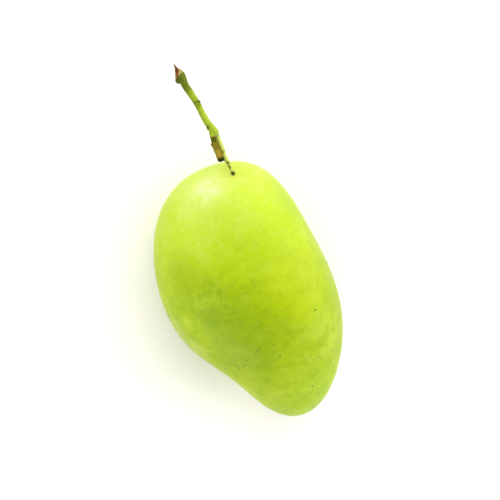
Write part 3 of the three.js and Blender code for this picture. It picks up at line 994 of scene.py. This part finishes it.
# %% The green bark
BARK_GREEN = "#6b7e08"
BARK_STREAK = "#8fa31c"
BARK_PAINTED_SHADE = "#48560a"
BARK_PAINTED_SHADE_WAY = Vector((-0.9, 0.2, -0.1)).normalized()  # the side away from the light, which is painted darker as shade
BARK_MARKS_AND_PAINTED_LIGHT = [  # middle, full within, fades over, strength, colour
    ((4.2, 64, 6.2), 8, 5, 0.9, "#b4be52"),
    ((-5.0, 101.5, 3.0), 2.5, 8, 0.85, "#526008"),
    ((-6.3, 101.5, 3.6), 0.8, 1.0, 0.8, "#474d08"),
    ((-2.5, 92.8, 4.2), 0.8, 3.6, 0.7, "#94a61e"),
    ((0.0, 83.4, 4.6), 3.0, 3.4, 0.75, "#a2b22e"),
    ((2.0, 77.2, 5.2), 2.0, 1.6, 0.8, "#9aac24"),
    ((-0.15, 90.4, 4.9), 0.3, 0.5, 0.8, "#5a4a1e"),
    ((0.6, 78.9, 5.4), 0.7, 0.5, 0.92, "#4f4a0c"),
    # the next fruit's pale scar, partly its own colour and partly a painted highlight
    ((3.0, 74.9, 6.9), 0.5, 0.5, 0.6, "#b4b878"),
    # a painted shade beside that knob, on its far side from the light
    ((4.1, 74.3, 6.5), 0.35, 0.5, 0.6, "#66740e"),
    ((1.7, 73.5, 6.3), 0.8, 0.6, 0.9, "#444c04"),
    ((4.2, 67.1, 6.9), 0.5, 0.6, 0.8, "#7c7612"),
    ((5.1, 61.7, 7.0), 0.55, 0.6, 0.85, "#6c7410"),
    ((5.2, 59.7, 7.05), 0.5, 0.6, 0.85, "#6c7808"),
    ((5.8, 57.0, 6.7), 0.4, 0.6, 0.9, "#4c5010"),
]
DARK_BANDS = [  # middle, half width, strength
    ((-1.5, 90.6, 3.8), 0.15, 0.75),
    ((-0.5, 85.6, 4.1), 0.05, 0.3),
    ((1.1, 79.9, 4.6), 0.05, 0.3),
]
BAND_EDGE = 0.35
BAND_BROWN = "#454a0c"
TORN_WOOD = "#a1915a"
TORN_SHADE = "#6c5a2c"
TORN_BRUISE_AND_PAINTED_HIGHLIGHT = [  # the bruised rim of the tear, and a painted highlight on the torn face
    ((-4.1, 105.2, 2.6), 0.3, 0.9, 0.7, "#8a7650"),
    # a painted highlight on the torn face
    ((-5.5, 103.9, 2.9), 0.3, 0.5, 0.7, "#cbb080"),
]
BARK_LAPS_PAST = 1.1  # millimetres from the middle of the tear, towards the bark that laps over it
BARK_LAPS = Vector((0.43, -0.82, 0.37)).normalized()
STALK_FIBRES = (0.16, 0.7, 5.0, 1.0)  # height, width, length, and a shift that gives each piece its own

bark, tree, shader = new_material("young green mango bark", Roughness=0.55, IOR=1.45, Specular_IOR_Level=0.18)
here = in_millimetres(tree)
streaks = clouds(tree, here, 0.8, 0.4, 0.65, seed=4, stretch=(1, 0.15, 1))
paint = spotted(tree, here, coat(tree, colour(BARK_GREEN), streaks, 0.55, BARK_STREAK), BARK_MARKS_AND_PAINTED_LIGHT)
# painted shade: the bark darkens on the side that faces away from the light
toward_painted_shade = along_way(tree, add(tree, "ShaderNodeTexCoord")["Normal"], BARK_PAINTED_SHADE_WAY)
shaded = add(tree, "ShaderNodeMapRange", {0: toward_painted_shade, 1: -0.3, 2: 0.9})[0]
paint = coat(tree, paint, shaded, 0.5, BARK_PAINTED_SHADE)
for at, half, strength in DARK_BANDS:
    ring = band(tree, here, at, STALK_RUNS.normalized(), half, BAND_EDGE)
    paint = coat(tree, paint, ring, strength, BAND_BROWN)
on_tear = past_plane(tree, here, TEAR_AT, TEAR_FACES, 0.4)
lapped = past_plane(tree, here, TEAR_AT + BARK_LAPS * BARK_LAPS_PAST, BARK_LAPS, 0.5)
bare = add(tree, "ShaderNodeMath", {0: 1.0, 1: lapped}, operation="SUBTRACT")[0]
on_tear = add(tree, "ShaderNodeMath", {0: on_tear, 1: bare}, operation="MULTIPLY")[0]
paint = coat(tree, paint, on_tear, 1.0, TORN_WOOD)
grain = clouds(tree, here, 0.5, 0.45, 0.6, seed=9, stretch=(1, 0.3, 1))
torn_grain = add(tree, "ShaderNodeMath", {0: grain, 1: on_tear}, operation="MULTIPLY")[0]
paint = spotted(tree, here, coat(tree, paint, torn_grain, 0.6, TORN_SHADE), TORN_BRUISE_AND_PAINTED_HIGHLIGHT)
finish_surface(tree, shader, paint, here, grain=0.3, depth=0.03, seed=6, stretch=(1, 0.2, 1))
piece_of("stalk", laid_with_fibres(stem_mesh, bark, *STALK_FIBRES), "green_stalk", "stem")

# %% [markdown]
# The dried stub
# Below the fork the main stalk has dried: it shrank, wrinkled lengthwise and turned brown, and its cut end
# went black round a hollow pith. The same trees grow it, with higher lobes and deeper fibres.

# %% The dried stub's form
DRIED_STUB = [
    (1.8, 75.8, 5.4, 1.2),
    (1.65, 73.6, 6.1, 1.25),
    (1.75, 69.8, 7.2, 1.32),
    (2.3, 66.0, 7.6, 1.42),
    (2.8, 60.0, 7.9, 1.5),
]
STUB_CUT_AT = Vector((2.5, 63.8, 7.8))
STUB_CUT_FACES = Vector((0.05, -0.78, 0.62)).normalized()
STUB_FORM = (100, 64, 5.0, 0.08)
STUB_BUD = ((0.6, 71.2, 6.9), (0.65, 0.9, 0.65))
STUB_GRAIN = 0.1
STUB_MARKS = [  # middle, reach across, height, half width: a ring, the hollow of the cut end, the pith in it
    ((1.5, 71.4, 6.7), 2.6, 0.2, 0.4),
    (STUB_CUT_AT, 1.1, -0.3, 1.1),
    (STUB_CUT_AT, 0.3, 0.2, 0.3),
]

stub_grown = stalk_along(DRIED_STUB, *STUB_FORM)
cut_off(stub_grown, STUB_CUT_AT, STUB_CUT_FACES)
stub_mesh = grown_together([stub_grown, ball(*STUB_BUD)], STUB_GRAIN)
for at, across, height, half in STUB_MARKS:
    push(stub_mesh, at, across, height, half=half)

# %% The dried stub's bark
DRY_BROWN = "#6f600e"
DRY_WRINKLE = "#877822"
DRY_BLOTCH = "#554a0e"
STUB_END_BLACK = "#262a04"
STUB_FIBRES = (0.45, 0.65, 5.0, 7.0)
STUB_SPOTS = [  # green where it leaves the fork, dark below it and on the bud, paler along its top
    ((1.8, 75.7, 6.2), 1.1, 0.5, 0.95, "#93a520"),
    ((1.65, 73.4, 7.2), 0.9, 0.8, 0.95, "#434c02"),
    ((0.6, 71.3, 7.0), 0.5, 0.8, 0.6, "#5a4c0a"),
    ((1.8, 67.4, 8.9), 0.8, 2.0, 0.7, "#98822a"),
]
gloss = {"Roughness": 0.8, "IOR": 1.5, "Specular_IOR_Level": 0.1}
dry_bark, tree, shader = new_material("dried brown mango bark", **gloss)
here = in_millimetres(tree)
wrinkles = clouds(tree, here, 0.6, 0.4, 0.62, detail=4, seed=12, stretch=(1, 0.16, 1))
paint = coat(tree, colour(DRY_BROWN), wrinkles, 0.7, DRY_WRINKLE)
paint = coat(tree, paint, clouds(tree, here, 1.4, 0.5, 0.7, seed=20), 0.5, DRY_BLOTCH)
paint = spotted(tree, here, paint, STUB_SPOTS)
on_cut = past_plane(tree, here, STUB_CUT_AT, STUB_CUT_FACES, 0.9)
paint = coat(tree, paint, on_cut, 0.97, STUB_END_BLACK)
finish_surface(tree, shader, paint, here, grain=0.25, depth=0.06, seed=14, stretch=(1, 0.2, 1))
piece_of("dry_stub", laid_with_fibres(stub_mesh, dry_bark, *STUB_FIBRES), "dry_wood", "dried_stub")

# %% [markdown]
# The dried scale
# A bud's cover stays beside the torn end: a thin red-brown blade, cupped along its length, with a greyish
# point. It is a flattened stalk whose face is pressed in, so it needs no tree of its own.

# %% The dried scale
DRIED_SCALE = [
    (-7.0, 102.2, 4.0, 0.42),
    (-6.45, 104.2, 4.3, 0.6),
    (-6.05, 105.9, 3.6, 0.62),
    (-6.4, 107.4, 2.9, 0.38),
    (-6.75, 108.4, 2.3, 0.13),
]
SCALE_FORM = (90, 48, 2.0, 0.1, 0.35)
SCALE_GRAIN = 0.07
SCALE_FOLDS = [  # middle, reach across, height, way along, half length
    ((-6.3, 104.4, 4.8), 0.35, -0.3, (0.1, 1, -0.2), 1.6),
    ((-6.2, 106.6, 3.6), 0.22, -0.15, (-0.2, 1, -0.4), 1.0),
    ((-7.2, 103.2, 4.2), 0.3, 0.12, (0.3, 1, 0.1), 0.8),
]
SCALE_BROWN = "#5e3418"
SCALE_STREAK = "#7a4a26"
SCALE_SPOTS = [  # darkest in the fold, brown at the foot, greyish at the tip
    ((-6.1, 105.9, 4.1), 0.4, 1.0, 0.6, "#4f2410"),
    ((-6.7, 103.4, 4.4), 0.6, 1.0, 0.75, "#7c6030"),
    (DRIED_SCALE[-1][:3], 0.7, 1.4, 0.9, "#7e7a55"),
]
SCALE_FIBRES = (0.22, 0.4, 3.0, 3.0)

scale_mesh = grown_together([stalk_along(DRIED_SCALE, *SCALE_FORM)], SCALE_GRAIN)
for fold in SCALE_FOLDS:
    push(scale_mesh, *fold)

gloss = {"Roughness": 0.7, "IOR": 1.45, "Specular_IOR_Level": 0.1}
dry_scale, tree, shader = new_material("dried papery bud scale", **gloss)
here = in_millimetres(tree)
streaks = clouds(tree, here, 0.5, 0.4, 0.65, seed=25, stretch=(1, 0.2, 1))
paint = spotted(tree, here, coat(tree, colour(SCALE_BROWN), streaks, 0.5, SCALE_STREAK), SCALE_SPOTS)
finish_surface(tree, shader, paint, here, grain=0.2, depth=0.05, seed=26, stretch=(1, 0.2, 1))
piece_of("dry_scale", laid_with_fibres(scale_mesh, dry_scale, *SCALE_FIBRES), "dry_scale", "dried_scale")

# %% [markdown]
# The cork collar
# Where the stalk enters the basin, a small dark ring of cork marks the place where a ripe fruit lets go. It
# is a short, wide, many-lobed stalk round the real one, sunk into the skin.

# %% The cork collar
COLLAR = [(6.15, 55.6, 6.8, 0.66), (5.95, 56.7, 6.7, 0.76), (5.85, 57.3, 6.65, 0.66)]
COLLAR_FORM = (12, 56, 7.0, 0.07)
COLLAR_GRAIN = 0.08
COLLAR_FIBRES = (0.3, 0.4, 0.5, 5.0)
CORK_DARK = "#363e08"
CORK_PALE = "#5c6018"

cork, tree, shader = new_material("dark cork collar", Roughness=0.85, IOR=1.45, Specular_IOR_Level=0.25)
here = in_millimetres(tree)
paint = coat(tree, colour(CORK_DARK), clouds(tree, here, 0.5, 0.4, 0.65, seed=33), 0.35, CORK_PALE)
finish_surface(tree, shader, paint, here, grain=0.2, depth=0.05, seed=34)
collar_mesh = grown_together([stalk_along(COLLAR, *COLLAR_FORM)], COLLAR_GRAIN)
piece_of("cork_collar", laid_with_fibres(collar_mesh, cork, *COLLAR_FIBRES), "dry_wood")

# %% [markdown]
# Floor and light
# The fruit lies on a plain white surface. The light is that of a bright white room: strongest near the
# horizon all round, so that the rims turn pale, and weaker overhead, so that the middle keeps its colour. A
# large soft light beyond the stalk end brightens the shoulders, and two smaller ones keep the full side and
# the nose from going dull.

# %% The floor
FLOOR_SIZE = 1.4  # metres
FLOOR_WHITE = "#f8f5ee"

bpy.ops.mesh.primitive_plane_add(size=FLOOR_SIZE)
floor = bpy.context.object
floor.name = "floor"
floor_paint, *_ = new_material("matt white studio floor", Roughness=0.9, Base_Color=colour(FLOOR_WHITE))
floor.data.materials.append(floor_paint)

# %% The light
HORIZON_LIGHT = 1.9
OVERHEAD_LIGHT = 0.4
OVERHEAD_FROM = 0.75  # how steeply upwards, as a share of straight up, the overhead light starts

world = bpy.data.worlds.new("studio")
world.use_nodes = True
sky = world.node_tree
upwards = add(sky, "ShaderNodeSeparateXYZ", {0: add(sky, "ShaderNodeTexCoord")["Generated"]})[2]
fading = {0: upwards, 1: 0.0, 2: OVERHEAD_FROM, 3: HORIZON_LIGHT, 4: OVERHEAD_LIGHT}
strength = add(sky, "ShaderNodeMapRange", fading, interpolation_type="SMOOTHSTEP")[0]
sky.nodes["Background"].inputs["Color"].default_value = (1, 1, 1, 1)
sky.links.new(strength, sky.nodes["Background"].inputs["Strength"])
bpy.context.scene.world = world
bpy.context.scene.view_settings.view_transform = "Standard"
print("light from the horizon:", HORIZON_LIGHT, "and from overhead:", OVERHEAD_LIGHT)

# %% The soft lights, each a square that faces the fruit
SOFT_LIGHTS = [  # name, place and width in metres, watts
    ("main", (0.15, 0.6, 0.85), 0.8, 8),
    ("side", (0.9, -0.15, 0.4), 0.6, 4.5),
    ("nose", (-0.6, -0.7, 0.35), 0.6, 4),
]
LIGHTS_FACE = Vector((0, 0, 0.03))

for name, place, width, watts in SOFT_LIGHTS:
    data = bpy.data.lights.new(name, "AREA")
    data.size = width
    data.energy = watts
    light = new_object(name, data)
    light.location = place
    light.rotation_euler = (LIGHTS_FACE - Vector(place)).to_track_quat("-Z", "Y").to_euler()
print("soft lights:", len(SOFT_LIGHTS))
